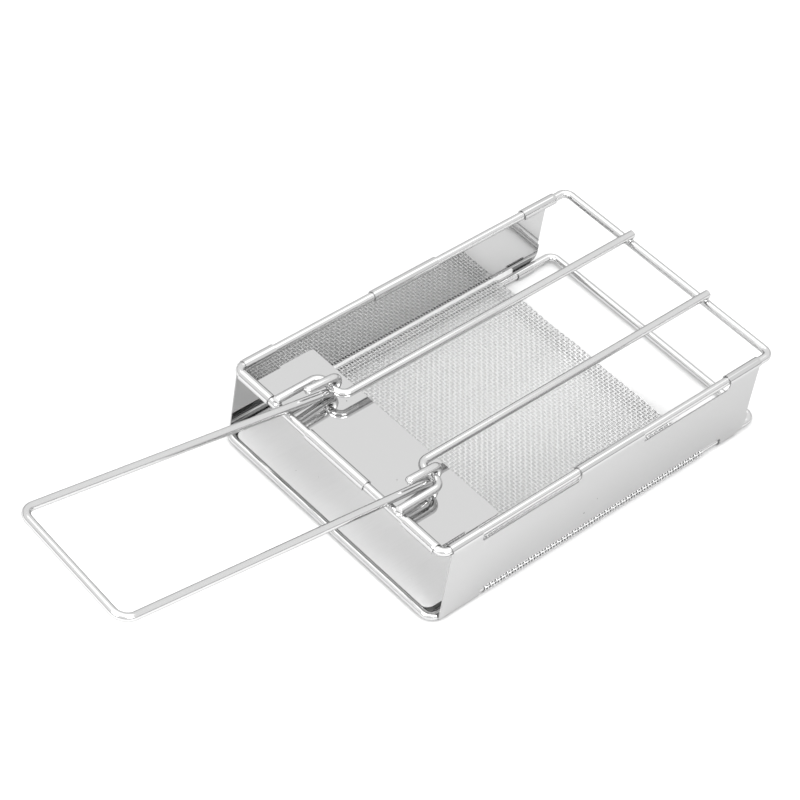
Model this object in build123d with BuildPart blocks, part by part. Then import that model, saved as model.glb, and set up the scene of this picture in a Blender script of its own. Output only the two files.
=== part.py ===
"""Folding grill basket in stainless wire and sheet, opened for use, with its handle swung out.

Two rounded wire frames lie one above the other. A sheet wall on each long side is curled round both
frames, so the basket folds flat sideways like a parallelogram. A woven mesh and a small plate fill
the bottom frame, two grill wires cross the top frame, a flap hangs on its front wire, and the
handle hooks under the grill wires. X runs from the handle end to the open back end, Y from the
right wall to the left wall, and Z is up, with zero where the basket rests.
"""

import os
from math import asin, atan2, cos, hypot, radians, sin

from build123d import *

os.makedirs("parts", exist_ok=True)

# Driving dimensions, in millimetres and degrees
frame_length = 154.0  # centre to centre of each frame's end wires, along X
frame_width = 100.0  # centre to centre of each frame's side wires, along Y
frame_height = 31.0  # centre to centre of the two frames, along Z
frame_corner = 3.0  # bend radius of the frames' corners, on the wire's centre
wire = 3.0  # diameter of the frames, grill wires and handle
sheet = 0.4  # thickness of the walls, the flap and the floor plate
strand = 0.35  # diameter of one strand of the woven mesh

hinge_clearance = 0.10  # between a wire and what turns on it
seat_clearance = 0.02  # between pieces that are welded or wrapped on each other
moving_clearance = 0.30  # between pieces that pass each other

# Walls: the curls are lengths along X
wall_front_lead = 0.8  # the front edge stands ahead of the first curls
wall_back_inset = 7.5  # from the back wire's centre to the wall's back edge
front_top_curl = 13.0
middle_top_curl = 29.5
middle_curl_shift = -1.75  # of the middle curl from the frame's middle
back_top_curl = 15.5
back_curl_overhang = 1.0  # of the back top curl past the wall's back edge
back_bottom_curl = 7.5
top_curl_wrap = 215.0
bottom_curl_wrap = 245.0
slot_depth = 2.0  # from the top wire's centre down to the wall's edge between the curls
slot_corner = 1.2
cutout_gap = 1.28  # from the mesh's wrap up to the wall's edge above it
cutout_corner = 2.0
cutout_lead = 3.0  # the cutout starts ahead of the mesh
heel_height = 8.5  # from the bottom wire's centre up to the step in the wall's back edge
heel_step = 0.8
heel_corner = 4.3

# Floor
plate_reach = 23.0  # from the front wire's centre to the seam between plate and mesh
plate_edge_inset = 0.5  # from the front wire's centre back to the plate's front edge
plate_corner = 4.5
mesh_back_inset = 26.5  # from the back wire's centre to the mesh's back edge
mesh_wrap = 210.0
mesh_openings_long = 12  # openings of the plain grid that stands for the weave, along X
mesh_openings_cross = 11  # and along Y
mesh_bar = 2.2  # width of the grid's bars, each of which stands for several strands

# Grill wires
grill_spacing = 36.8  # centre to centre of the two main runs
jog_reach = 18.2  # from the front wire's centre back to the crosswise jog
jog_length = 11.25  # from a main run out to its foot
grill_bend = 3.5
foot_overhang = 0.8  # past the front wire's centre
tip_overhang = 1.2  # past the back wire's centre

# Handle
fold_gap = 6.6  # centre to centre of the back wire and the middle of the end bar when folded over
arm_spread = 0.35  # each arm's hook lies this far outboard of its jog's middle
arm_flare = 1.8  # each arm leans out by this much from its hook to the end bar
arm_skew = 1.6  # the right arm is this much longer than the middle, the left one this much shorter
handle_corner = 4.7
hook_close = 6.0  # the hooks bend this many degrees past a half turn
hook_tip = 11.5  # length of the leg that returns over the jog

# Flap: the curls are lengths along Y
flap_end_gap = 2.3  # from the closed flap's free edge down to the bottom wire's centre
flap_right_inset = 3.5  # from the right wires' centre to the flap's right edge
flap_left_inset = 5.8
flap_relief = 0.7  # each side is this much narrower beside the walls' front curls
flap_relief_reach = 14.0  # length of that narrower stretch, from the front wire's centre
flap_corner = 2.5
flap_notch = 2.3  # from the front wire's centre to the flap's edge between the curls
flap_middle_curl = 28.0
flap_curl_gap = 1.5  # between an outer curl and the grill wire's foot beside it
flap_curl_wrap = 300.0

# Radii of the sheet and the mesh where they roll round a wire
wire_radius = wire / 2
curl_inner = wire_radius + hinge_clearance
curl_outer = curl_inner + sheet
mesh_thickness = 2 * strand  # a warp strand over a weft strand
wrap_inner = wire_radius + seat_clearance
wrap_outer = wrap_inner + mesh_thickness
hook_radius = wire + hinge_clearance

# Places of the wires' centres
front_x = -frame_length / 2
back_x = frame_length / 2
side_y = frame_width / 2
bottom_z = max(curl_outer, wrap_outer)
top_z = bottom_z + frame_height
grill_z = top_z + wire + seat_clearance
grill_y = grill_spacing / 2
foot_y = grill_y + jog_length
jog_x = front_x + jog_reach

# Edges of the floor, the walls' curls and the flap's curls
mesh_front_x = front_x + plate_reach
mesh_back_x = back_x - mesh_back_inset
first_curl_x = front_x + frame_corner
wall_front_x = first_curl_x - wall_front_lead
wall_back_x = back_x - wall_back_inset
heel_x = wall_back_x + heel_step
cutout_height = wrap_outer + cutout_gap
top_curl_end_x = wall_back_x + back_curl_overhang
top_curls = [
    (first_curl_x, first_curl_x + front_top_curl),
    (middle_curl_shift - middle_top_curl / 2, middle_curl_shift + middle_top_curl / 2),
    (top_curl_end_x - back_top_curl, top_curl_end_x),
]
bottom_curls = [
    (first_curl_x, mesh_front_x - cutout_lead),
    (heel_x - heel_corner - back_bottom_curl, heel_x - heel_corner),
]
flap_curl_end_y = side_y - frame_corner
flap_curl_start_y = foot_y + wire_radius + flap_curl_gap
flap_curls = [
    (-flap_curl_end_y, -flap_curl_start_y),
    (-flap_middle_curl / 2, flap_middle_curl / 2),
    (flap_curl_start_y, flap_curl_end_y),
]

# The folded handle fits inside the top frame, and the open one rises over the front wire, in radians
handle_reach = frame_length - jog_reach - fold_gap
arm_y = (grill_y + foot_y) / 2 + arm_spread
jog_rise = grill_z - top_z
arm_offset = hook_radius + wire + hinge_clearance
arm_rise = asin(arm_offset / hypot(jog_reach, jog_rise)) - atan2(jog_rise, jog_reach)


def save(piece, name):
    """Label a finished piece and write its STEP file."""
    piece.part.label = name
    export_step(piece.part, f"parts/{name}.step")


def wire_frame(z):
    """One closed frame: a wire bent to a rounded rectangle, centred at height z."""
    with BuildPart() as frame:
        with BuildSketch(Plane.XY.offset(z), mode=Mode.PRIVATE) as outline:
            RectangleRounded(frame_length, frame_width, frame_corner)
        path = outline.sketch.face().outer_wire()
        with BuildSketch(Plane(origin=path @ 0, z_dir=path % 0)):
            Circle(wire_radius)
        sweep(path=path)
    return frame


def ring_sector(centre, inner, outer, start, size):
    """Cross-section of a sheet rolled round a wire, drawn in the current sketch."""
    with BuildLine() as outline:
        inside = CenterArc(centre, inner, start, size)
        outside = CenterArc(centre, outer, start, size)
        Line(inside @ 0, outside @ 0)
        Line(inside @ 1, outside @ 1)
    make_face(outline.edges())


def bent_wire(path):
    """Sweep the round wire along a path of lines and tangent arcs."""
    with BuildSketch(Plane(origin=path @ 0, z_dir=path % 0)) as section:
        Circle(wire_radius)
    sweep(section.sketch, path=path)


# Frames
top_frame = wire_frame(top_z)
save(top_frame, "top_frame")
bottom_frame = wire_frame(bottom_z)
save(bottom_frame, "bottom_frame")

# Right wall: a flat sheet outside both frames, curled over the top wire and under the bottom wire.
# The stretches between the curls are cut back, and the mesh wraps the bottom wire in the lower one.
with BuildPart() as right_wall:
    with BuildSketch(Plane.XZ.offset(side_y + curl_inner)) as blank:
        with BuildLine():
            Polyline(
                (wall_front_x, bottom_z),
                (wall_front_x, top_z),
                (wall_back_x, top_z),
                (wall_back_x, bottom_z + heel_height),
                (heel_x, bottom_z + heel_height - heel_step),
                (heel_x, bottom_z),
                close=True,
            )
        make_face()
        heel = blank.vertices().sort_by(Axis.X)[-2:].sort_by(Axis.Y)[0]
        fillet(heel, heel_corner)
        for (_, gap_start), (gap_end, _) in zip(top_curls, top_curls[1:]):
            with Locations(((gap_start + gap_end) / 2, top_z)):
                RectangleRounded(gap_end - gap_start, 2 * slot_depth, slot_corner, mode=Mode.SUBTRACT)
        gap_start = bottom_curls[0][1]
        gap_end = bottom_curls[1][0]
        with Locations(((gap_start + gap_end) / 2, bottom_z)):
            RectangleRounded(gap_end - gap_start, 2 * cutout_height, cutout_corner, mode=Mode.SUBTRACT)
    extrude(amount=sheet)
    for start_x, end_x in top_curls:
        with BuildSketch(Plane.YZ.offset(start_x)):
            ring_sector((-side_y, top_z), curl_inner, curl_outer, 180 - top_curl_wrap, top_curl_wrap)
        extrude(amount=end_x - start_x)
    for start_x, end_x in bottom_curls:
        with BuildSketch(Plane.YZ.offset(start_x)):
            ring_sector((-side_y, bottom_z), curl_inner, curl_outer, 180, bottom_curl_wrap)
        extrude(amount=end_x - start_x)
save(right_wall, "right_wall")

# Left wall: the same pressing, handed the other way
with BuildPart() as left_wall:
    add(mirror(right_wall.part, about=Plane.XZ))
save(left_wall, "left_wall")

# Floor mesh: a woven cloth over the bottom frame's side wires, its edges wrapped round them. A plain
# grid stands for the fine weave, and leaves as great a share of the floor open.
opening_length = (mesh_back_x - mesh_front_x - mesh_bar) / mesh_openings_long - mesh_bar
opening_width = (frame_width - 2 * wrap_outer - mesh_bar) / mesh_openings_cross - mesh_bar
with BuildPart() as floor_mesh:
    with BuildSketch(Plane.YZ.offset(mesh_front_x)):
        with Locations((0, bottom_z + (wrap_inner + wrap_outer) / 2)):
            Rectangle(frame_width, mesh_thickness)
        ring_sector((-side_y, bottom_z), wrap_inner, wrap_outer, 90, mesh_wrap)
        ring_sector((side_y, bottom_z), wrap_inner, wrap_outer, 90 - mesh_wrap, mesh_wrap)
    extrude(amount=mesh_back_x - mesh_front_x)
    with BuildSketch(Plane.XY.offset(bottom_z + wrap_inner)):
        with Locations(((mesh_front_x + mesh_back_x) / 2, 0)):
            with GridLocations(
                opening_length + mesh_bar, opening_width + mesh_bar, mesh_openings_long, mesh_openings_cross
            ):
                Rectangle(opening_length, opening_width)
    extrude(amount=mesh_thickness, mode=Mode.SUBTRACT)
save(floor_mesh, "floor_mesh")

# Floor plate: a sheet welded on the bottom frame's front wire, ahead of the mesh
plate_front_x = front_x + plate_edge_inset
plate_back_x = mesh_front_x - seat_clearance
plate_half_width = side_y - curl_outer - moving_clearance
with BuildPart() as floor_plate:
    with BuildSketch(Plane.XY.offset(bottom_z + wrap_inner)) as plate:
        with Locations(((plate_front_x + plate_back_x) / 2, 0)):
            Rectangle(plate_back_x - plate_front_x, 2 * plate_half_width)
        fillet(plate.vertices().group_by(Axis.X)[0], plate_corner)
    extrude(amount=sheet)
save(floor_plate, "floor_plate")

# Grill wires: each lies on both end wires, with a jog that carries the handle and a welded foot
for side, name in ((1, "grill_wire_left"), (-1, "grill_wire_right")):
    with BuildPart() as grill_wire:
        with BuildLine() as route:
            FilletPolyline(
                (back_x + tip_overhang, side * grill_y, grill_z),
                (jog_x, side * grill_y, grill_z),
                (jog_x, side * foot_y, grill_z),
                (front_x - foot_overhang, side * foot_y, grill_z),
                radius=grill_bend,
            )
        bent_wire(route.wire())
    save(grill_wire, name)

# Handle: one wire bent to a U, its arms over the front wire and hooked round the two jogs
arm_down = Vector(-sin(arm_rise), 0, -cos(arm_rise))
close_cos = cos(radians(hook_close))
close_sin = sin(radians(hook_close))
with BuildPart() as handle:
    with BuildLine() as route:
        arms = []
        for side, reach in ((1, handle_reach - arm_skew), (-1, handle_reach + arm_skew)):
            flare = atan2(arm_flare, reach)
            forward = cos(flare)
            arm_way = Vector(-forward * cos(arm_rise), side * sin(flare), forward * sin(arm_rise))
            pivot = Vector(jog_x, side * arm_y, grill_z)
            under = pivot + arm_down * hook_radius
            behind = pivot - arm_way * hook_radius
            over = pivot + (arm_way * close_sin - arm_down * close_cos) * hook_radius
            ThreePointArc(under, behind, over)
            Line(over, over + (arm_way * close_cos + arm_down * close_sin) * hook_tip)
            arms.append((under, under + arm_way * reach))
        (left_under, left_end), (right_under, right_end) = arms
        FilletPolyline(left_under, left_end, right_end, right_under, radius=handle_corner)
    bent_wire(route.wire())
save(handle, "handle")

# Front flap: a sheet with rounded free corners, curled over the top frame's front wire
flap_right_y = -side_y + flap_right_inset
flap_left_y = side_y - flap_left_inset
relief_x = front_x + flap_relief_reach
flap_edge_x = front_x + frame_height - flap_end_gap
flap_top = top_z - curl_outer
with BuildPart() as front_flap:
    with BuildSketch(Plane.XY.offset(flap_top)) as plate:
        with BuildLine():
            Polyline(
                (front_x, flap_right_y + flap_relief),
                (relief_x, flap_right_y + flap_relief),
                (relief_x, flap_right_y),
                (flap_edge_x, flap_right_y),
                (flap_edge_x, flap_left_y),
                (relief_x, flap_left_y),
                (relief_x, flap_left_y - flap_relief),
                (front_x, flap_left_y - flap_relief),
                close=True,
            )
        make_face()
        fillet(plate.vertices().group_by(Axis.X)[-1], flap_corner)
        for (_, gap_start), (gap_end, _) in zip(flap_curls, flap_curls[1:]):
            with Locations((front_x, (gap_start + gap_end) / 2)):
                Rectangle(2 * flap_notch, gap_end - gap_start, mode=Mode.SUBTRACT)
    extrude(amount=-sheet)
    for start_y, end_y in flap_curls:
        with BuildSketch(Plane.XZ.offset(-end_y)):
            ring_sector((front_x, top_z), curl_inner, curl_outer, -90, flap_curl_wrap)
            with Locations((front_x + sheet / 2, flap_top)):
                Rectangle(sheet, 2 * sheet)
        extrude(amount=end_y - start_y)
save(front_flap, "front_flap")
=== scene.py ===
"""A folding stainless grill basket for camping, opened for use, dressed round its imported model.

Lengths are millimetres times mm. X runs from the handle's end to the open back, Y from the right
wall to the left wall, and Z is up from the level that the basket rests on.
"""

import math

import bmesh
import bpy
from mathutils import Matrix, Vector


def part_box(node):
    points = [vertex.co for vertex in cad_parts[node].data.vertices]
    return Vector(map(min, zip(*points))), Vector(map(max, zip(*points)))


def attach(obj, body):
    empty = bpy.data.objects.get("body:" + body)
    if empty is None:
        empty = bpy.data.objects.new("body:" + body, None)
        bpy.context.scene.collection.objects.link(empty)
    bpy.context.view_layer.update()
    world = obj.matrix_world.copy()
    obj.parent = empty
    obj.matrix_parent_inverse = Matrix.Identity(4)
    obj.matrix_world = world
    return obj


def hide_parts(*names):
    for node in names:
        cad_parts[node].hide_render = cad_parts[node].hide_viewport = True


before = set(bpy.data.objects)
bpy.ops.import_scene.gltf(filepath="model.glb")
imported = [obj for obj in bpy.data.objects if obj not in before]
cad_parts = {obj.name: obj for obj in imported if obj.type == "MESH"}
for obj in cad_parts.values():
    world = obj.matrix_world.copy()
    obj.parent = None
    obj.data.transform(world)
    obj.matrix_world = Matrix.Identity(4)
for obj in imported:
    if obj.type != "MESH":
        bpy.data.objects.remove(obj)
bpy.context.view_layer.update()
mm = 0.001


# Studio: a sheet of matte white paper in a white light tent, brightest overhead and dimmest where its
# sides meet the table, with a lit card in front of the basket and one on its right.
def linear(hex_colour):
    """Linear RGBA of an sRGB colour written as six hex digits."""
    shares = [int(hex_colour[i : i + 2], 16) / 255 for i in (0, 2, 4)]
    return [s / 12.92 if s <= 0.04045 else ((s + 0.055) / 1.055) ** 2.4 for s in shares] + [1.0]


def add(tree, kind, settings=None, links=None):
    """Add a node to a tree, with its settings, and its inputs' values or the sockets they take."""
    node = tree.nodes.new(kind)
    for name, value in (settings or {}).items():
        setattr(node, name, value)
    for name, source in (links or {}).items():
        if isinstance(source, bpy.types.NodeSocket):
            tree.links.new(source, node.inputs[name])
        else:
            node.inputs[name].default_value = source
    return node


scene = bpy.context.scene
scene.view_settings.view_transform = "Standard"

paper = bpy.data.materials.new("matte_white_paper")
paper.use_nodes = True
paper_shader = paper.node_tree.nodes["Principled BSDF"]
paper_shader.inputs["Base Color"].default_value = linear("d8d8d8")
paper_shader.inputs["Roughness"].default_value = 0.9
paper_shader.inputs["Specular IOR Level"].default_value = 0.1
bpy.ops.object.select_all(action="DESELECT")
bpy.ops.mesh.primitive_plane_add(size=6)
floor = bpy.context.object
floor.name = "paper_floor"
floor.data.materials.append(paper)

tent = bpy.data.worlds.new("light_tent")
tent.use_nodes = True
tree = tent.node_tree
outward = add(tree, "ShaderNodeTexCoord")
height = add(tree, "ShaderNodeSeparateXYZ", links={"Vector": outward.outputs["Generated"]})
sides = add(
    tree,
    "ShaderNodeMapRange",
    {"interpolation_type": "SMOOTHSTEP"},
    {"Value": height.outputs["Z"], "From Min": 0.0, "From Max": 0.3, "To Min": 0.45, "To Max": 1.08},
)
roof = add(
    tree,
    "ShaderNodeMapRange",
    {"interpolation_type": "SMOOTHSTEP"},
    {"Value": height.outputs["Z"], "From Min": 0.765, "From Max": 0.8, "To Min": 0.0, "To Max": 0.9},
)
glow = add(
    tree,
    "ShaderNodeMath",
    {"operation": "ADD"},
    {0: sides.outputs["Result"], 1: roof.outputs["Result"]},
)
tree.links.new(glow.outputs["Value"], tree.nodes["Background"].inputs["Strength"])
tree.nodes["Background"].inputs["Color"].default_value = linear("ffffff")
scene.world = tent

for name, spot, power in (("front_card", (-0.8, 0.0, 0.6), 7.0), ("side_card", (-0.1, -0.77, 0.63), 5.0)):
    card = bpy.data.lights.new(name, "AREA")
    card.shape = "SQUARE"
    card.size = 0.5
    card.energy = power
    lamp = bpy.data.objects.new(name, card)
    lamp.location = Vector(spot)
    lamp.rotation_euler = Vector(spot).to_track_quat("Z", "Y").to_euler()
    scene.collection.objects.link(lamp)

azimuth = math.radians(-49.80)
elevation = math.radians(44.93)
roll = math.radians(10.26)
aim = Vector((-30.8, 17.6, 18.5)) * mm
camera_millimetres = 1012.8
back = Vector(
    (
        math.sin(azimuth) * math.cos(elevation),
        -math.cos(azimuth) * math.cos(elevation),
        math.sin(elevation),
    )
)
level_right = Vector((math.cos(azimuth), math.sin(azimuth), 0))
right = Matrix.Rotation(roll, 3, back) @ level_right
lens = bpy.data.cameras.new("long_lens")
lens.sensor_width = 36
lens.lens = 136.2
lens.clip_start = 0.01
camera = bpy.data.objects.new("camera", lens)
camera.matrix_world = Matrix((right, back.cross(right), back)).transposed().to_4x4()
camera.location = aim + back * camera_millimetres * mm
scene.collection.objects.link(camera)
scene.camera = camera

# Bottom frame: one piece of 3 mm cold-drawn stainless wire bent to a rounded rectangle and butt
# welded into a ring. The basket rests on it, and its side wires are the walls' lower hinge pins.
low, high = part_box("bottom_frame")
wire = high.z - low.z
front_x = low.x + wire / 2
back_x = high.x - wire / 2
side_y = high.y - wire / 2
bottom_z = low.z + wire / 2


def drawn_wire(name, mark_size):
    """Bright drawn stainless: the die polishes it to a soft mirror with faint, fine drawing marks."""
    material = bpy.data.materials.new(name)
    material.use_nodes = True
    tree = material.node_tree
    shader = tree.nodes["Principled BSDF"]
    shader.inputs["Base Color"].default_value = linear("d2d2d2")
    shader.inputs["Metallic"].default_value = 1.0
    shader.inputs["Specular Tint"].default_value = linear("b0b0b0")
    place = add(tree, "ShaderNodeTexCoord")
    marks = add(
        tree,
        "ShaderNodeTexNoise",
        links={"Vector": place.outputs["Object"], "Scale": 1 / mark_size, "Detail": 3.0},
    )
    gloss = add(
        tree,
        "ShaderNodeMapRange",
        links={
            "Value": marks.outputs["Fac"],
            "From Min": 0.3,
            "From Max": 0.7,
            "To Min": 0.1,
            "To Max": 0.19,
        },
    )
    tree.links.new(gloss.outputs["Result"], shader.inputs["Roughness"])
    dent = add(
        tree,
        "ShaderNodeBump",
        links={"Height": marks.outputs["Fac"], "Strength": 0.05, "Distance": 0.02 * mm},
    )
    tree.links.new(dent.outputs["Normal"], shader.inputs["Normal"])
    return material


frame_steel = drawn_wire("bright_drawn_stainless_frame", 1.5 * mm)
for name in ("bottom_frame", "top_frame"):
    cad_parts[name].data.materials.clear()
    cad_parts[name].data.materials.append(frame_steel)


# Floor plate: 0.4 mm cold-rolled stainless sheet, spot welded on the bottom frame's front wire. Its
# front corners are cropped round to follow the wire.
def rolled_sheet(name, tone_hex, dullness, wave_size):
    """Cold-rolled stainless: how mirror-like it is depends on the rolls. It isn't quite flat, and it
    has hairline scratches and a few dark specks from handling."""
    material = bpy.data.materials.new(name)
    material.use_nodes = True
    tree = material.node_tree
    shader = tree.nodes["Principled BSDF"]
    shader.inputs["Metallic"].default_value = 1.0
    shader.inputs["Specular Tint"].default_value = linear("c0c0c0")
    place = add(tree, "ShaderNodeTexCoord")
    cells = add(
        tree,
        "ShaderNodeTexVoronoi",
        links={"Vector": place.outputs["Object"], "Scale": 1 / (5 * mm)},
    )
    rare = add(tree, "ShaderNodeSeparateColor", links={"Color": cells.outputs["Color"]})
    size = add(
        tree,
        "ShaderNodeMapRange",
        links={
            "Value": rare.outputs["Red"],
            "From Min": 0.6,
            "From Max": 1.0,
            "To Min": 0.0,
            "To Max": 0.075,
        },
    )
    speck = add(
        tree,
        "ShaderNodeMath",
        {"operation": "LESS_THAN"},
        {0: cells.outputs["Distance"], 1: size.outputs["Result"]},
    )
    tone = add(
        tree,
        "ShaderNodeMix",
        {"data_type": "RGBA"},
        {"Factor": speck.outputs["Value"], "A": linear(tone_hex), "B": linear("6e6c68")},
    )
    tree.links.new(tone.outputs["Result"], shader.inputs["Base Color"])
    along = add(
        tree,
        "ShaderNodeMapping",
        links={"Vector": place.outputs["Object"], "Rotation": (0.0, 0.0, 0.6), "Scale": (1.0, 14.0, 14.0)},
    )
    hairs = add(
        tree,
        "ShaderNodeTexNoise",
        links={"Vector": along.outputs["Vector"], "Scale": 1 / (9 * mm), "Detail": 4.0},
    )
    gloss = add(
        tree,
        "ShaderNodeMapRange",
        links={
            "Value": hairs.outputs["Fac"],
            "From Min": 0.35,
            "From Max": 0.75,
            "To Min": dullness,
            "To Max": dullness * 1.3 + 0.02,
        },
    )
    tree.links.new(gloss.outputs["Result"], shader.inputs["Roughness"])
    waves = add(
        tree,
        "ShaderNodeTexNoise",
        links={"Vector": place.outputs["Object"], "Scale": 1 / wave_size, "Detail": 1.0},
    )
    swell = add(
        tree,
        "ShaderNodeBump",
        links={"Height": waves.outputs["Fac"], "Strength": 1.0, "Distance": 0.003 * mm},
    )
    tree.links.new(swell.outputs["Normal"], shader.inputs["Normal"])
    return material


# Pickled sheet isn't polished after rolling, so it is satin and shows no clear reflection
plate_steel = rolled_sheet("pickled_satin_stainless_plate", "d0d0d0", 0.5, 30 * mm)
plate_steel.node_tree.nodes["Principled BSDF"].inputs["Metallic"].default_value = 0.3

# A guillotined edge of the sheet is torn and dull, so it draws a thin grey line round each piece
sheared_edge = bpy.data.materials.new("sheared_stainless_edge")
sheared_edge.use_nodes = True
edge_shader = sheared_edge.node_tree.nodes["Principled BSDF"]
edge_shader.inputs["Base Color"].default_value = linear("b4b4b4")
edge_shader.inputs["Metallic"].default_value = 1.0
edge_shader.inputs["Roughness"].default_value = 0.45


def blank(name, low, high, flat):
    """Open a new flat sheet in edit mode, from corner to corner, square to one axis: X, Y or Z."""
    turns = {"X": (0, math.pi / 2, 0), "Y": (math.pi / 2, 0, 0), "Z": (0, 0, 0)}
    middle = (low + high) / 2
    size = high - low
    bpy.ops.object.select_all(action="DESELECT")
    bpy.ops.mesh.primitive_plane_add(size=1, location=middle, rotation=turns[flat])
    bpy.ops.object.transform_apply(location=True, rotation=True, scale=True)
    bpy.context.object.name = name
    bpy.ops.object.mode_set(mode="EDIT")
    bpy.ops.mesh.select_all(action="SELECT")
    stretch = [1.0 if axis == flat else length for axis, length in zip("XYZ", size)]
    bpy.ops.transform.resize(value=stretch, center_override=middle)


def pick(kind, test):
    """Select only those of the open mesh's verts, edges or faces whose middle passes a test."""
    bpy.ops.mesh.select_mode(type={"verts": "VERT", "edges": "EDGE", "faces": "FACE"}[kind])
    bpy.ops.mesh.select_all(action="DESELECT")
    mesh = bmesh.from_edit_mesh(bpy.context.object.data)
    for part in getattr(mesh, kind):
        corners = [part] if kind == "verts" else part.verts
        middle = sum((corner.co for corner in corners), Vector()) / len(corners)
        part.select_set(test(middle))
    mesh.select_flush_mode()
    bmesh.update_edit_mesh(bpy.context.object.data)


def cut(place, way):
    """Cut the whole open mesh along a plane."""
    bpy.ops.mesh.select_all(action="SELECT")
    bpy.ops.mesh.bisect(plane_co=place, plane_no=way)


def finish_sheet(material, thickness):
    """Give the open sheet its thickness, its material and a sheared rim."""
    bpy.ops.mesh.select_all(action="SELECT")
    bpy.ops.mesh.remove_doubles(threshold=0.001 * mm)
    bpy.ops.mesh.normals_make_consistent(inside=False)
    bpy.ops.object.mode_set(mode="OBJECT")
    piece = bpy.context.object
    piece.data.materials.append(material)
    piece.data.materials.append(sheared_edge)
    solid = piece.modifiers.new("thickness", "SOLIDIFY")
    solid.thickness = thickness
    solid.offset = 0
    solid.material_offset_rim = 1
    bpy.ops.object.modifier_apply(modifier=solid.name)
    return piece


def break_edges(piece, width):
    """Round the sharp edges of a finished sheet a little, as tumbling does, and smooth its curls."""
    rounding = piece.modifiers.new("broken_edges", "BEVEL")
    rounding.width = width
    rounding.segments = 2
    rounding.limit_method = "ANGLE"
    rounding.angle_limit = math.radians(50)
    rounding.material = 1
    bpy.ops.object.modifier_apply(modifier=rounding.name)
    bpy.ops.object.shade_smooth_by_angle(angle=math.radians(35))
    flats = piece.modifiers.new("flat_faces", "WEIGHTED_NORMAL")
    flats.weight = 100
    flats.keep_sharp = True
    bpy.ops.object.modifier_apply(modifier=flats.name)


low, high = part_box("floor_plate")
sheet = high.z - low.z
plate_corner = 3.0 * mm
edge_break = 0.05 * mm
low.z = high.z = (low.z + high.z) / 2
blank("welded_floor_plate", low, high, "Z")
plate_front = low.x
pick("verts", lambda p: p.x < plate_front + mm)
bpy.ops.mesh.bevel(offset=plate_corner, segments=8, affect="VERTICES")
floor_plate = finish_sheet(plate_steel, sheet)
break_edges(floor_plate, edge_break)
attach(floor_plate, "base")
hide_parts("floor_plate")

# Woven floor: plain-woven cloth of 0.35 mm stainless strands, 20 to the inch, its long edges rolled
# round the bottom frame's side wires under the walls. Its back edge is hemmed under and ripples. The
# strands are drawn 0.42 mm thick, as thinner ones look too open.
low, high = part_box("floor_mesh")
mesh_front = low.x
mesh_back = high.x
strand = 0.42 * mm
swing = 0.16 * mm
long_spacing = 1.35 * mm
cross_spacing = 1.28 * mm
cloth_level = high.z - strand / 2 - swing
roll_radius = cloth_level - bottom_z
roll_angle = math.radians(210)
cloth_reach = side_y + roll_radius * roll_angle
hem_radius = 0.4 * mm
hem_width = 7 * mm
hem_line = mesh_back - hem_radius - swing - strand / 2
ripple_height = 0.35 * mm
short_ripple = 5.5 * mm
long_ripple = 17 * mm
ripple_reach = 22 * mm
ripple_fade = 12 * mm
hem_end_gap = 3 * mm

woven_steel = bpy.data.materials.new("plain_woven_stainless_cloth")
woven_steel.use_nodes = True
woven_shader = woven_steel.node_tree.nodes["Principled BSDF"]
woven_shader.inputs["Base Color"].default_value = linear("d8d8d8")
woven_shader.inputs["Metallic"].default_value = 1.0
place = add(woven_steel.node_tree, "ShaderNodeTexCoord")
dulling = add(
    woven_steel.node_tree,
    "ShaderNodeTexNoise",
    links={"Vector": place.outputs["Object"], "Scale": 1 / (12 * mm), "Detail": 2.0},
)
woven_gloss = add(
    woven_steel.node_tree,
    "ShaderNodeMapRange",
    links={"Value": dulling.outputs["Fac"], "From Min": 0.3, "From Max": 0.7, "To Min": 0.42, "To Max": 0.55},
)
woven_steel.node_tree.links.new(woven_gloss.outputs["Result"], woven_shader.inputs["Roughness"])


def roll_edge(point):
    """Where a point of the flat cloth comes to lie once its back is hemmed under and its sides rolled."""
    x, y, z = point
    if x > hem_line:
        turn = min((x - hem_line) / hem_radius, math.pi)
        under = x - hem_line - turn * hem_radius
        radius = hem_radius + z - cloth_level
        x = hem_line + radius * math.sin(turn) - under
        z = cloth_level - hem_radius + radius * math.cos(turn)
    beyond = abs(y) - side_y
    if beyond <= 0:
        ripple = ripple_height * math.sin(y / short_ripple) * math.sin(y / long_ripple + 1)
        free = max(0.0, (x - (mesh_back - ripple_reach)) / ripple_reach)
        return Vector((x, y, z + ripple * free * free * min(1.0, -beyond / ripple_fade)))
    turn = beyond / roll_radius
    radius = roll_radius + z - cloth_level
    return Vector((x, math.copysign(side_y + radius * math.sin(turn), y), bottom_z + radius * math.cos(turn)))


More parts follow.
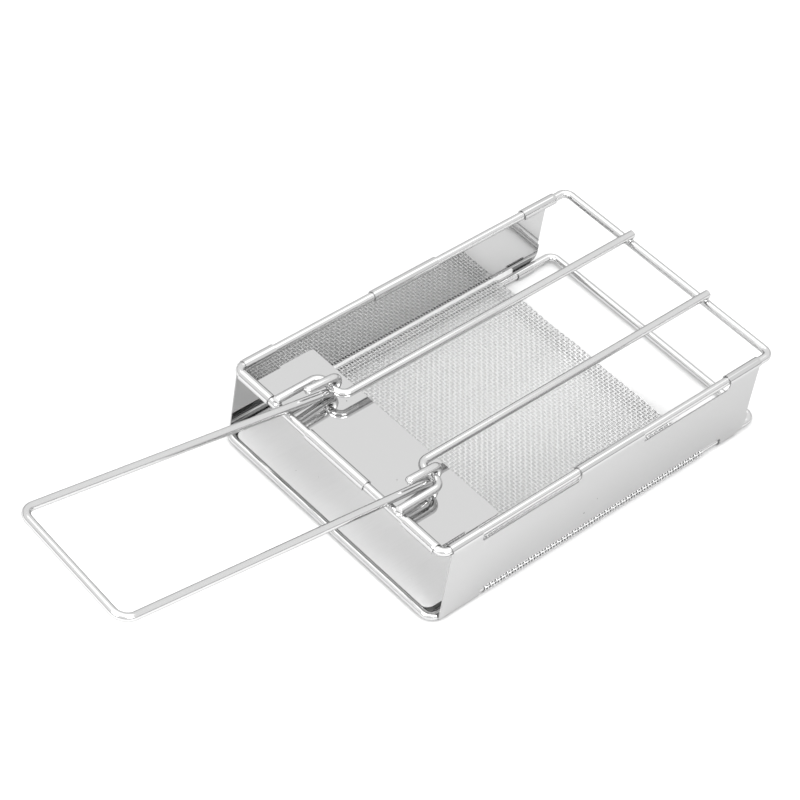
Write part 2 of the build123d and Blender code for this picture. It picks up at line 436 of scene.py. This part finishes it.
def weave(name, start, run, step, crossings, strands):
    """One layer of the cloth: strands that start at a crossing, above or below it, and then weave on."""
    bpy.ops.object.select_all(action="DESELECT")
    turn = run.to_track_quat("Z", "Y").to_euler()
    bpy.ops.mesh.primitive_circle_add(vertices=6, radius=strand / 2, location=start, rotation=turn)
    bpy.ops.object.transform_apply(location=True, rotation=True, scale=True)
    bpy.context.object.name = name
    bpy.ops.object.mode_set(mode="EDIT")
    bpy.ops.mesh.select_mode(type="EDGE")
    bpy.ops.mesh.select_all(action="SELECT")
    rise = cloth_level - start.z
    for climb in (rise, rise, -rise, -rise):
        bpy.ops.mesh.extrude_region_move(TRANSFORM_OT_translate={"value": run / 2 + Vector((0, 0, climb))})
    bpy.ops.mesh.select_all(action="SELECT")
    bpy.ops.mesh.duplicate_move(TRANSFORM_OT_translate={"value": step})
    bpy.ops.transform.resize(value=(1, 1, -1), center_override=(start + step).to_tuple()[:2] + (cloth_level,))
    bpy.ops.mesh.select_all(action="SELECT")
    bpy.ops.mesh.normals_make_consistent(inside=False)
    bpy.ops.object.mode_set(mode="OBJECT")
    layer = bpy.context.object
    for label, offset, count in (("waves", run * 2, crossings // 2), ("strands", step * 2, strands // 2)):
        copies = layer.modifiers.new(label, "ARRAY")
        copies.use_relative_offset = False
        copies.use_constant_offset = True
        copies.constant_offset_displace = offset
        copies.count = count
        copies.use_merge_vertices = label == "waves"
        copies.merge_threshold = 0.01 * mm
        bpy.ops.object.modifier_apply(modifier=label)
    bpy.ops.object.mode_set(mode="EDIT")
    pick("faces", lambda p: p.x > hem_line and abs(p.y) > side_y - hem_end_gap)
    bpy.ops.mesh.delete(type="FACE")
    bpy.ops.mesh.select_mode(type="EDGE")
    bpy.ops.mesh.select_all(action="DESELECT")
    bpy.ops.mesh.select_non_manifold()
    bpy.ops.mesh.fill_holes(sides=6)
    bpy.ops.mesh.select_all(action="SELECT")
    bpy.ops.mesh.normals_make_consistent(inside=False)
    bpy.ops.object.mode_set(mode="OBJECT")
    for point in layer.data.vertices:
        point.co = roll_edge(point.co)
    bpy.ops.object.shade_smooth_by_angle(angle=math.radians(60))
    layer.data.materials.append(woven_steel)
    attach(layer, "base")
    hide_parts("floor_mesh")


long_count = 2 * round(cloth_reach / long_spacing)
cloth_length = hem_line - mesh_front + math.pi * hem_radius + hem_width
cross_count = 2 * int(cloth_length / (2 * cross_spacing))
wave = Vector((0, 0, swing))
corner = Vector((mesh_front + strand / 2, -(long_count - 1) / 2 * long_spacing, cloth_level))
along_run = Vector((cross_spacing, 0, 0))
across_run = Vector((0, long_spacing, 0))
weave("mesh_long_strands", corner + wave, along_run, across_run, cross_count, long_count)
weave("mesh_cross_strands", corner - wave, across_run, along_run, long_count, cross_count)


# Walls: 0.4 mm sheet pressed on each long side. Three curls run over the top frame's side wire and
# two under the bottom frame's, so that each wall swings on both. The right one is the left's mirror.
low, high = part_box("top_frame")
top_z = (low.z + high.z) / 2
low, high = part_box("right_wall")
curl_radius = high.z - top_z - sheet / 2
wall_front = low.x
curl_overhang = 1.0 * mm
wall_back = high.x - curl_overhang
curl_setback = 0.8 * mm
first_curl = wall_front + curl_setback
top_slots = ((first_curl + 13.0 * mm, -16.5 * mm), (13.0 * mm, 55.0 * mm))
slot_depth = 2.5 * mm
slot_corner = 1.2 * mm
bottom_slot = (mesh_front - 3.0 * mm, 58.5 * mm)
bottom_slot_height = 3.0 * mm
bottom_slot_corner = 2.0 * mm
heel_step = 0.8 * mm
heel_back = wall_back + heel_step
heel_height = 8.5 * mm
heel_corner = 4.3 * mm
punch_reach = 3 * mm
top_wrap = math.radians(215)
bottom_wrap = math.radians(245)
hair = 0.05 * mm

wall_steel = rolled_sheet("bright_annealed_stainless_wall", "cacaca", 0.02, 45 * mm)


def spin(centre, axis, turn, steps):
    """Sweep the selected rim round an axis by the right-hand rule. With no window its sign is reversed."""
    bpy.ops.mesh.spin(steps=steps, angle=-turn, center=centre, axis=axis)


def punch(piece, low, high, corner):
    """Cut a slot with rounded ends through a sheet, whose edge there is sheared."""
    bpy.ops.object.select_all(action="DESELECT")
    middle = (low + high) / 2
    bpy.ops.mesh.primitive_cube_add(size=1, location=middle)
    bpy.ops.object.transform_apply(location=True, rotation=True, scale=True)
    tool = bpy.context.object
    tool.data.materials.append(sheared_edge)
    bpy.ops.object.mode_set(mode="EDIT")
    bpy.ops.mesh.select_all(action="SELECT")
    bpy.ops.transform.resize(value=high - low, center_override=middle)
    pick("edges", lambda p: abs(p.y - middle.y) < hair)
    bpy.ops.mesh.bevel(offset=corner, segments=6)
    bpy.ops.object.mode_set(mode="OBJECT")
    bpy.context.view_layer.objects.active = piece
    slot = piece.modifiers.new("slot", "BOOLEAN")
    slot.object = tool
    slot.operation = "DIFFERENCE"
    slot.solver = "EXACT"
    slot.material_mode = "TRANSFER"
    bpy.ops.object.modifier_apply(modifier=slot.name)
    bpy.data.objects.remove(tool)
    piece.select_set(True)


for side, name, body in ((-1, "right_wall", "right_side"), (1, "left_wall", "left_side")):
    wall_y = side * (side_y + curl_radius)
    blank("pressed_" + name, Vector((wall_front, wall_y, bottom_z)), Vector((heel_back, wall_y, top_z)), "Y")
    cut((first_curl, 0, 0), (1, 0, 0))
    cut((heel_back - heel_corner, 0, 0), (1, 0, 0))
    cut((0, 0, bottom_z + heel_height), (0, 0, 1))
    cut((0, 0, bottom_z + heel_height - heel_step), (0, 0, 1))
    pick("verts", lambda p: p.x > heel_back - hair and p.z > bottom_z + heel_height - hair)
    bpy.ops.transform.translate(value=(wall_back - heel_back, 0, 0))
    pick("verts", lambda p: p.x > heel_back - hair and p.z < bottom_z + hair)
    bpy.ops.mesh.bevel(offset=heel_corner - hair, segments=8, affect="VERTICES")
    pick("edges", lambda p: p.z > top_z - hair and p.x > first_curl)
    spin((0, side * side_y, top_z), (1, 0, 0), side * top_wrap, 20)
    pick("edges", lambda p: p.z < bottom_z + hair and first_curl < p.x < heel_back - heel_corner)
    spin((0, side * side_y, bottom_z), (1, 0, 0), -side * bottom_wrap, 22)
    pick(
        "edges",
        lambda p: p.x > wall_back - hair and math.hypot(p.y - side * side_y, p.z - top_z) < curl_radius,
    )
    bpy.ops.mesh.extrude_region_move(TRANSFORM_OT_translate={"value": (curl_overhang, 0, 0)})
    wall = finish_sheet(wall_steel, sheet)
    for start, end in top_slots:
        foot = Vector((start, side * side_y - punch_reach, top_z - slot_depth))
        head = Vector((end, side * side_y + punch_reach, top_z + punch_reach))
        punch(wall, foot, head, slot_corner)
    start, end = bottom_slot
    foot = Vector((start, side * side_y - punch_reach, bottom_z - punch_reach))
    head = Vector((end, side * side_y + punch_reach, bottom_z + bottom_slot_height))
    punch(wall, foot, head, bottom_slot_corner)
    break_edges(wall, edge_break)
    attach(wall, body)
    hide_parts(name)

# Grill wires: two lengths of 3 mm drawn wire laid over the frame's end wires and spot welded there.
# Near the front each has a crosswise jog that carries a hook of the handle. The ends are sawn square.
low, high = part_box("grill_wire_left")
grill_z = (low.z + high.z) / 2
grill_y = low.y + wire / 2
foot_y = high.y - wire / 2
foot_x = low.x
tip_x = high.x
jog_x = front_x + 18.2 * mm
grill_bend = 3.5 * mm
wire_sides = 24

grill_steel = drawn_wire("bright_drawn_stainless_grill", 1.2 * mm)


def start_wire(name, place, way):
    """Open a new wire in edit mode with the rim of its end at a place, facing the way it runs."""
    bpy.ops.object.select_all(action="DESELECT")
    turn = way.to_track_quat("Z", "Y").to_euler()
    bpy.ops.mesh.primitive_circle_add(vertices=wire_sides, radius=wire / 2, location=place, rotation=turn)
    bpy.ops.object.transform_apply(location=True, rotation=True, scale=True)
    bpy.context.object.name = name
    bpy.ops.object.mode_set(mode="EDIT")
    bpy.ops.mesh.select_mode(type="EDGE")
    bpy.ops.mesh.select_all(action="SELECT")


def pull(run):
    """Draw the wire's open rim out along a straight run."""
    bpy.ops.mesh.extrude_region_move(TRANSFORM_OT_translate={"value": run})


def bend_through(corners, radius):
    """Draw the wire from the first corner to the last, bent to one radius at each between them."""
    here = corners[0]
    for before, corner, after in zip(corners, corners[1:], corners[2:]):
        came = (corner - before).normalized()
        goes = (after - corner).normalized()
        turn = came.angle(goes)
        axis = came.cross(goes).normalized()
        tangent = corner - came * (radius * math.tan(turn / 2))
        pull(tangent - here)
        spin(tangent + axis.cross(came) * radius, axis, turn, 10)
        here = corner + goes * (radius * math.tan(turn / 2))
    pull(corners[-1] - here)


def finish_wire(material, rounding):
    """Close the wire's cut ends, round their rims, smooth the wire and give it its material."""
    bpy.ops.mesh.select_mode(type="EDGE")
    bpy.ops.mesh.select_all(action="DESELECT")
    bpy.ops.mesh.select_non_manifold()
    bpy.ops.mesh.fill_holes(sides=wire_sides)
    bpy.ops.mesh.select_mode(type="FACE")
    bpy.ops.mesh.select_all(action="SELECT")
    bpy.ops.mesh.normals_make_consistent(inside=False)
    bpy.ops.mesh.select_all(action="DESELECT")
    mesh = bmesh.from_edit_mesh(bpy.context.object.data)
    for face in mesh.faces:
        face.select_set(len(face.verts) == wire_sides)
    bmesh.update_edit_mesh(bpy.context.object.data)
    bpy.ops.mesh.bevel(offset=rounding, segments=4)
    bpy.ops.object.mode_set(mode="OBJECT")
    piece = bpy.context.object
    piece.data.materials.append(material)
    bpy.ops.object.shade_smooth_by_angle(angle=math.radians(40))
    return piece


weld_radius = 1.5 * mm


def weld(place):
    """A spot weld in the open mesh: a flat bead squeezed out where two crossing wires were fused."""
    bpy.ops.mesh.primitive_uv_sphere_add(segments=16, ring_count=8, radius=weld_radius, location=place)
    bpy.ops.transform.resize(value=(1, 1, 0.3), center_override=place)
    bpy.ops.transform.vertex_random(offset=0.06 * mm, seed=4)


for side, name in ((1, "left"), (-1, "right")):
    route = [
        Vector((tip_x, side * grill_y, grill_z)),
        Vector((jog_x, side * grill_y, grill_z)),
        Vector((jog_x, side * foot_y, grill_z)),
        Vector((foot_x, side * foot_y, grill_z)),
    ]
    start_wire(name + "_grill_rod", route[0], Vector((-1, 0, 0)))
    bend_through(route, grill_bend)
    seat = (top_z + grill_z) / 2
    rod = finish_wire(grill_steel, 0.3 * mm)
    bpy.ops.object.mode_set(mode="EDIT")
    bpy.ops.mesh.select_all(action="DESELECT")
    weld(Vector((front_x, side * foot_y, seat)))
    weld(Vector((back_x, side * grill_y, seat)))
    bpy.ops.object.mode_set(mode="OBJECT")
    bpy.ops.object.shade_smooth_by_angle(angle=math.radians(40))
    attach(rod, "top")
    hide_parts("grill_wire_" + name)

# Handle: one 3 mm wire bent to a U. Its arms rise over the front wire and end in hooks that turn
# round the grill wires' jogs, so that it swings right over and packs down above those wires.
hook_clearance = 0.1 * mm
hook_radius = wire + hook_clearance
hook_close = math.radians(6)
hook_tip = 11.5 * mm
arm_y = (grill_y + foot_y) / 2 + 0.35 * mm
arm_flare = 1.8 * mm
arm_reach = 129.2 * mm
arm_skew = 1.6 * mm
handle_corner = 4.7 * mm
jog_rise = grill_z - top_z
arm_offset = hook_radius + wire + hook_clearance
jog_run = jog_x - front_x
arm_rise = math.asin(arm_offset / math.hypot(jog_run, jog_rise)) - math.atan2(jog_rise, jog_run)

handle_steel = drawn_wire("bright_drawn_stainless_handle", 1.8 * mm)
arm_down = Vector((-math.sin(arm_rise), 0, -math.cos(arm_rise)))
arms = []
for side, reach in ((1, arm_reach - arm_skew), (-1, arm_reach + arm_skew)):
    flare = math.atan2(arm_flare, reach)
    forward = math.cos(flare)
    way = Vector((-forward * math.cos(arm_rise), side * math.sin(flare), forward * math.sin(arm_rise)))
    leg = way * math.cos(hook_close) + arm_down * math.sin(hook_close)
    pivot = Vector((jog_x, side * arm_y, grill_z))
    over = pivot + (way * math.sin(hook_close) - arm_down * math.cos(hook_close)) * hook_radius
    under = pivot + arm_down * hook_radius
    arms.append((pivot, way, leg, over, under, under + way * reach))
(left_pivot, left_way, left_leg, left_over, left_under, left_end) = arms[0]
(right_pivot, right_way, right_leg, _, right_under, right_end) = arms[1]
start_wire("swing_handle", left_over + left_leg * hook_tip, -left_leg)
pull(-left_leg * hook_tip)
spin(left_pivot, arm_down.cross(left_way), math.pi + hook_close, 18)
bend_through([left_under, left_end, right_end, right_under], handle_corner)
spin(right_pivot, right_way.cross(arm_down), math.pi + hook_close, 18)
pull(right_leg * hook_tip)
handle = finish_wire(handle_steel, 1.0 * mm)
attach(handle, "handle")
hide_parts("handle")

# Front flap: 0.4 mm sheet curled round the top frame's front wire in three places, between which it
# is cut back. Its front edge folds up tight and rolls back over the wire; the free corners are round.
low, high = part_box("front_flap")
flap_edge = high.x
flap_z = top_z - curl_radius - sheet
flap_right = -side_y + 3.5 * mm
flap_left = side_y - 5.8 * mm
relief = 0.7 * mm
relief_x = front_x + 14.0 * mm
notch_x = front_x + 2.3 * mm
middle_curl = 14.0 * mm
outer_curl = foot_y + wire / 2 + 1.5 * mm
curl_end = high.y
flap_corner = 2.5 * mm
flap_wrap = math.radians(300)

flap_steel = rolled_sheet("bright_annealed_stainless_flap", "d0d0d0", 0.05, 40 * mm)
blank("swinging_flap", Vector((front_x, flap_right, flap_z)), Vector((flap_edge, flap_left, flap_z)), "Z")
for x in (notch_x, relief_x):
    cut((x, 0, 0), (1, 0, 0))
for y in (flap_right + relief, -outer_curl, -middle_curl, middle_curl, outer_curl, flap_left - relief):
    cut((0, y, 0), (0, 1, 0))
pick("faces", lambda p: p.x < relief_x and not flap_right + relief < p.y < flap_left - relief)
bpy.ops.mesh.delete(type="FACE")
pick("faces", lambda p: p.x < notch_x and middle_curl < abs(p.y) < outer_curl)
bpy.ops.mesh.delete(type="FACE")
pick("verts", lambda p: p.x > flap_edge - hair and (p.y < flap_right + hair or p.y > flap_left - hair))
bpy.ops.mesh.bevel(offset=flap_corner, segments=6, affect="VERTICES")
pick("edges", lambda p: p.x < front_x + hair)
spin((front_x, 0, flap_z + sheet / 2), (0, 1, 0), math.pi, 6)
spin((front_x, 0, top_z), (0, 1, 0), -flap_wrap, 26)
for edge_y, end_y in ((flap_left - relief, curl_end), (flap_right + relief, -curl_end)):
    pick("edges", lambda p: abs(p.y - edge_y) < hair and math.hypot(p.x - front_x, p.z - top_z) < curl_radius)
    bpy.ops.mesh.extrude_region_move(TRANSFORM_OT_translate={"value": (0, end_y - edge_y, 0)})
flap = finish_sheet(flap_steel, sheet)
break_edges(flap, edge_break)
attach(flap, "flap")
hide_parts("front_flap")
